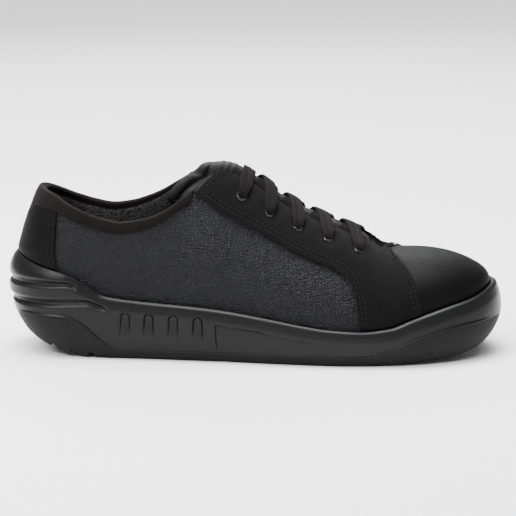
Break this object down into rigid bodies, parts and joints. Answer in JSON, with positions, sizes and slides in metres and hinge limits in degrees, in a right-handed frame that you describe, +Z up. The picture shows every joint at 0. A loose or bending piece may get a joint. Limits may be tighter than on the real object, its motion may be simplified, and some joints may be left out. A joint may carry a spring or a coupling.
{
  "type": "safety sneaker",
  "caption": "Low lace-up safety sneaker for the right foot, with a hollow leather upper, suede eyestay and a moulded cup sole.",
  "frame": {"origin": "on the floor, under the middle of the shoe's bounding box", "axes": "+X towards the toe, -Y towards the outer (lateral) side, +Z up"},
  "size_m": [0.2742, 0.0966, 0.1047],
  "materials": {
    "tread": "matt",
    "moulded_sole": "satin",
    "lining": "matt",
    "grained_leather": "satin",
    "smooth_leather": "satin",
    "binding_tape": "matt",
    "suede": "matt",
    "eyelet_metal": "gloss",
    "tongue_cover": "satin",
    "lace_cord": "matt"
  },
  "bodies": {
    "root": {"outsole": "tread", "midsole": "moulded_sole", "insole": "lining", "upper": "grained_leather", "counter": "smooth_leather", "collar_binding": "binding_tape", "eyestay": "suede", "eyelet_lateral_1": "eyelet_metal", "eyelet_lateral_2": "eyelet_metal", "eyelet_lateral_3": "eyelet_metal", "eyelet_lateral_4": "eyelet_metal", "eyelet_lateral_5": "eyelet_metal", "eyelet_medial_1": "eyelet_metal", "eyelet_medial_2": "eyelet_metal", "eyelet_medial_3": "eyelet_metal", "eyelet_medial_4": "eyelet_metal", "eyelet_medial_5": "eyelet_metal", "tongue": "tongue_cover", "lace_bar_1": "lace_cord", "lace_crossing_1": "lace_cord", "lace_crossing_2": "lace_cord", "lace_crossing_3": "lace_cord", "lace_crossing_4": "lace_cord"}
  },
  "joints": []
}
